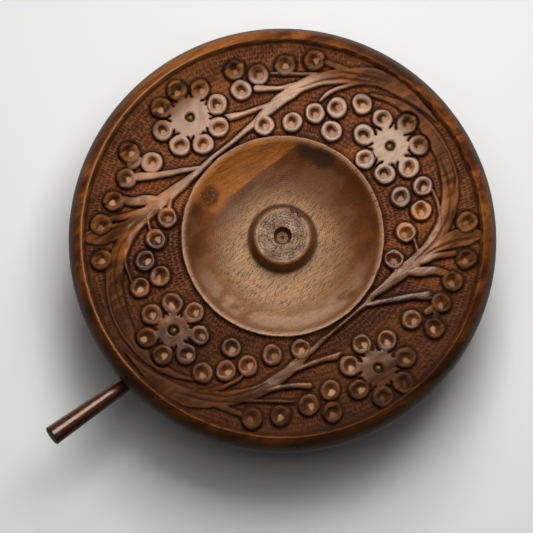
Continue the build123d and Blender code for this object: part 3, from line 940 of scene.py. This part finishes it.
def add_carving_shades(lid):
    """Sunk ground with painted shade in its hollows and towards the near side, grained leaves
    darkened towards the border, pale flat tops on the far side that are painted sheen, and painted
    highlights on the gouge facets that face the light.
    """
    lid.tint((0.115, 0.037, 0.016), lid.ground * 0.4)
    # darker towards the border, and leaves near it with dark grain: grain, partly painted shade where
    # the leaves slope outwards
    lid.tint((0.030, 0.009, 0.003), lid.in_field * band(lid.radius, 55, 66) * 0.5)
    leaf_grain = noise(lid.place, (0.05, 0.4, 0.4), 4.0, 0.6, 0.5)
    leaf_tone = colours(leaf_grain, (0.42, 0.016, 0.006, 0.003), (0.62, 0.20, 0.064, 0.013))
    lid.tint(leaf_tone, lid.raised * lid.in_field * band(lid.radius, 53, 61) * 0.85)
    # paler where the sunk ground stands above its neighbours, and painted shade in every hollow
    lid.tint((0.24, 0.095, 0.05), band(lid.hollow, 0.0, -0.22) * lid.ground * 0.45)
    lid.tint((0.010, 0.004, 0.003), lid.hollow.math("MULTIPLY", 1.3, clamp=True))
    # painted shade: the carved field darker towards its near side
    lid.tint((0.035, 0.013, 0.007), lid.in_field * band(lid.y, 5, -40) * 0.6)
    # pale flat tops on the far side: painted sheen
    flat_top = lid.raised * band(lid.hollow, 0.12, 0.02)
    worn = flat_top * lid.in_field * band(lid.y, 5, 28) * band(lid.radius, 61, 54)
    lid.tint((0.48, 0.30, 0.21), worn * 0.42)
    # painted highlight on the gouge facets that face the light
    lid.tint((0.50, 0.27, 0.155), lid.bare * band(lid.radius, 68, 60) * 0.75)


def lid_gloss(lid):
    """Shine of the lid: full on rubbed wood, less wherever something dulls it."""
    dull = greatest(
        lid.ground * 0.40,
        band(lid.radius, 70.0, 71.5) * 0.25,
        lid.near_side * 0.5,
        lid.outer_rim * 0.62,
        bell(lid.radius, 69.7, 1.2) * (1.0 - lid.rubbed_side) * 0.4,
        lid.in_field * band(lid.radius, 52, 60) * 0.40,
        lid.dirt * 0.47,
    )
    return 0.47 - dull


def lid_material():
    """Dark carved rosewood: oiled ground, pale tops with painted sheen, sapwood streaks, a knot and
    dark stains, with painted shade and highlights besides.
    """
    material, tree = new_material("carved_rosewood")
    lid = LidShading(tree)
    add_sapwood(lid)
    add_dish_marks(lid)
    add_rim_shades(lid)
    add_carving_shades(lid)

    # fine relief: fibres, open pores, scraper marks, and the turning marks of the dish and the rim
    rings = (lid.radius * 9.0).math("SINE")
    turned = rings * (band(lid.radius, 34.5, 33.5) + 0.25) * 0.06
    height = lid.fibre * 0.5 + turned - lid.pores * 0.8 - lid.scratches
    rough_noise = noise(lid.place, (0.2, 0.8, 0.8))
    roughness = rough_noise * 0.16 + 0.24 + lid.ground * 0.25 + lid.in_dish * 0.12
    finish_material(lid.colour, roughness, height, 0.35, 0.25, gloss=lid_gloss(lid))
    return material


def end_grain_material():
    """Dry end grain for the knob's face, with darker turned sides and painted shade in the chips and
    the bore.
    """
    material, tree = new_material("knob_end_grain")
    place = grain_frame(tree, 15.0)
    world = object_place(tree)
    _, _, z = split(world)
    radius = axis_distance(world)

    # the face, with open cells and broken dark rings
    soft = noise(place, (0.25, 0.25, 0.25), 4.0, 0.6, 0.5)
    face = colours(soft, (0.35, 0.15, 0.080, 0.048), (0.65, 0.36, 0.225, 0.145))
    cells = noise(place, (1.6, 3.4, 1.0), 2.0, 0.5)
    pits = band(cells, 0.53, 0.61) * band(radius, 9.6, 7.6)
    face = tinted(face, (0.035, 0.018, 0.011), pits * 0.85)
    rings = band((radius * 6.2).math("SINE"), 0.4, 0.9)
    broken = band(noise(place, (0.35, 0.35, 0.35)), 0.42, 0.6)
    face = tinted(face, (0.04, 0.02, 0.012), rings * broken * 0.85)

    # the sides, the chips and the bore, with painted shade in the chips and the bore
    side_fibre = noise(world, (1.4, 1.4, 0.12), 4.0)
    side = colours(side_fibre, (0.3, 0.10, 0.032, 0.012), (0.7, 0.25, 0.095, 0.03))
    on_face = band(z, KNOB_TOP - 0.45, KNOB_TOP - 0.2) * band(radius, 9.7, 9.0)
    colour = tinted(side, face, on_face)
    for angle in CHIP_ANGLES:
        chip = (*spot(KNOB_BASE_RADIUS - 1.5, angle), KNOB_TOP - 1.2)
        chipped = band(measured("DISTANCE", world, chip), 1.9, 1.35)
        colour = tinted(colour, (0.03, 0.014, 0.009), chipped * 0.9)
    # painted shade inside the bore
    in_bore = band(z, KNOB_TOP - 0.6, KNOB_TOP - 4.0) * band(radius, 3.4, 3.2)
    colour = tinted(colour, (0.02, 0.010, 0.007), in_bore * 0.5)
    finish_material(colour, soft * 0.2 + 0.5, soft - pits * 0.9, 0.6, 0.25, gloss=0.35)
    return material


def plain_wood_material(name, turn, tilt, tones, rough, coat, shift):
    """Turned rosewood without carving, for the bowl, the cups and the scoop."""
    material, tree = new_material(name)
    place = grain_frame(tree, turn, tilt, shift)
    colour, fibre, pores = wood_base(place, *tones, 0.6)
    roughness = noise(place, (0.1, 0.4, 0.4)) * 0.2 + rough
    finish_material(colour, roughness, fibre - pores * 0.8, 0.3, 0.2, coat=coat)
    return material


def handle_material():
    """Dark lacquered hardwood with long fine grain, painted shade on its lower side, and a dark cut
    end that is end grain and partly painted shade.
    """
    material, tree = new_material("lacquered_handle")
    place = grain_frame(tree, HANDLE_AZIMUTH)
    fibre = noise(place, (0.04, 1.6, 1.6), 4.0, 0.6)
    colour = colours(
        fibre, (0.32, 0.022, 0.007, 0.004), (0.52, 0.062, 0.017, 0.008),
        (0.72, 0.12, 0.036, 0.017),
    )
    # painted shade on the side facing away from the light
    facing = Value(tree, "ShaderNodeNewGeometry", None, "Normal")
    lean = measured("DOT_PRODUCT", facing, (*spot(1, HANDLE_AZIMUTH + 90), 0))
    shaded = band(lean, 0.1, 0.75) * 0.85
    colour = tinted(colour, (0.006, 0.003, 0.002), shaded)
    # the cut end dark: end grain, partly painted shade
    flat, _, height = split(place)
    rise = radians(HANDLE_TILT)
    along = flat * cos(rise) + (height - HANDLE_AXIS_HEIGHT) * sin(rise)
    end = HANDLE_END / cos(rise)
    cut_end = band(along, end - 0.45, end - 0.1)
    colour = tinted(colour, (0.010, 0.005, 0.004), cut_end)
    roughness = noise(place, (0.3, 0.7, 0.7)) * 0.16 + 0.16 + cut_end * 0.5
    gloss = 0.5 - greatest(cut_end, shaded * 1.1) * 0.45
    finish_material(colour, roughness, fibre, 0.15, 0.15, coat=0.1, gloss=gloss)
    return material


def peg_material():
    """Dry end grain of the peg with a dark centre mark."""
    material, tree = new_material("peg_end_grain")
    place = grain_frame(tree, 0.0)
    grain = noise(place, (2.2, 2.2, 0.3))
    colour = colours(grain, (0.35, 0.070, 0.028, 0.011), (0.65, 0.25, 0.115, 0.045))
    colour = tinted(colour, (0.015, 0.008, 0.005), band(axis_distance(place), 0.75, 0.5))
    finish_material(colour, 0.6, grain, 0.4, 0.15)
    return material


def brass_material():
    """Dull old brass with brown tarnish in patches."""
    material, tree = new_material("old_brass")
    patchy = noise(grain_frame(tree, 0.0), (1.3, 1.3, 1.3))
    colour = colours(patchy, (0.35, 0.05, 0.03, 0.012), (0.7, 0.19, 0.12, 0.04))
    shader = finish_material(colour, patchy * 0.3 + 0.32, patchy, 0.3, 0.1)
    shader.inputs["Metallic"].default_value = 0.85
    return material


def floor_material():
    """Matt pale grey studio floor with a barely visible mottle."""
    material, tree = new_material("studio_floor")
    cloud = noise(grain_frame(tree, 0.0), (0.01, 0.01, 0.01), 2.0)
    colour = colours(cloud, (0.3, 0.78, 0.785, 0.78), (0.7, 0.80, 0.805, 0.80))
    finish_material(colour, 0.85, cloud, 0.0)
    return material


def dress(node, material):
    """Gives a CAD node its material."""
    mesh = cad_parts[node].data
    mesh.materials.clear()
    mesh.materials.append(material)


def studio():
    """Pale floor, soft lights and the camera, almost straight above the lid."""
    scene = bpy.context.scene
    bpy.ops.mesh.primitive_plane_add(size=4.0, location=(0, 0, 0))
    floor = bpy.context.object
    floor.name = "studio_floor"
    floor.data.materials.append(floor_material())

    world = bpy.data.worlds.new("studio")
    scene.world = world
    world.use_nodes = True
    background = world.node_tree.nodes["Background"]
    background.inputs["Color"].default_value = (0.93, 0.96, 1.0, 1)
    background.inputs["Strength"].default_value = 0.03

    def softbox(name, place, target, size, power, mirrored=True):
        light = bpy.data.lights.new(name, "AREA")
        light.shape = "RECTANGLE"
        light.size, light.size_y = size
        light.energy = power
        made = bpy.data.objects.new(name, light)
        made.location = place
        aim = Vector(target) - Vector(place)
        made.rotation_euler = aim.to_track_quat("-Z", "Y").to_euler()
        made.visible_glossy = mirrored
        scene.collection.objects.link(made)

    softbox("top_softbox", (0.05, 0.14, 0.50), (0.01, 0.03, 0.05), (0.20, 0.20), 1.6)
    softbox("ceiling_fill", (0, 0.04, 0.55), (0, 0, 0), (0.25, 0.25), 0.85, mirrored=False)
    softbox("back_softbox", (0.02, 0.50, 0.66), (0, 0, 0.03), (0.20, 0.16), 1.6)
    softbox("left_fill", (-0.8, 0.3, 0.5), (0, 0, 0.03), (0.5, 0.5), 0.2, mirrored=False)
    softbox("front_fill", (0.4, -1.2, 0.5), (0, 0, 0.03), (0.6, 0.4), 0.2, mirrored=False)

    camera = bpy.data.cameras.new("camera")
    camera.lens = 150
    camera.sensor_width = 36
    holder = bpy.data.objects.new("camera", camera)
    elevation = radians(83)
    seen_width = 0.1862
    distance = seen_width * camera.lens / camera.sensor_width
    aim = Vector((-0.0056, -0.0101, (LID_TOP - 6) * MM))
    holder.location = aim + distance * Vector((0, -cos(elevation), sin(elevation)))
    holder.rotation_euler = (radians(90) - elevation, 0, 0)
    scene.collection.objects.link(holder)
    bpy.context.scene.camera = holder
    scene.view_settings.view_transform = "Standard"


def stand_in(piece, node, body, material):
    """Gives a piece its material, puts it in the place of its CAD node and on its body."""
    piece.data.materials.clear()
    piece.data.materials.append(material)
    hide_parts(node)
    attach(piece, body)


def build():
    """Makes every visible piece and gives it a body, a material and the node it stands for."""
    stand_in(lid_object(), "lid_disc", "lid", lid_material())
    stand_in(knob_object(), "lid_knob", "lid", end_grain_material())

    bowl = bowl_object()
    cut_notch(bowl)
    bowl_wood = plain_wood_material(
        "bowl_rosewood", GRAIN_ANGLE, 3, BOWL_TONES, 0.28, 0.15, (0, 0, 0.07)
    )
    stand_in(bowl, "bowl", "box", bowl_wood)

    cup_nodes = sorted(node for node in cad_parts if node.startswith("cup_"))
    for number, node in enumerate(cup_nodes):
        low, high = box_mm(node)
        centre = ((low.x + high.x) / 2, (low.y + high.y) / 2)
        cup = cup_object(f"turned_{node}", centre, number)
        shift = (0.03 * number, 0.05 * number, 0.01 * number)
        cup_wood = plain_wood_material(
            f"{node}_wood", 20 + 47 * number, 4, CUP_TONES, 0.32, 0.1, shift
        )
        stand_in(cup, node, node, cup_wood)

    dress("spoon_handle", handle_material())
    dress("spoon_bowl", plain_wood_material(
        "scoop_wood", HANDLE_AZIMUTH, 0, BOWL_TONES, 0.3, 0.2, (0.2, 0.1, 0)))
    dress("knob_dowel", peg_material())
    dress("rosette_pins", brass_material())


build()
studio()
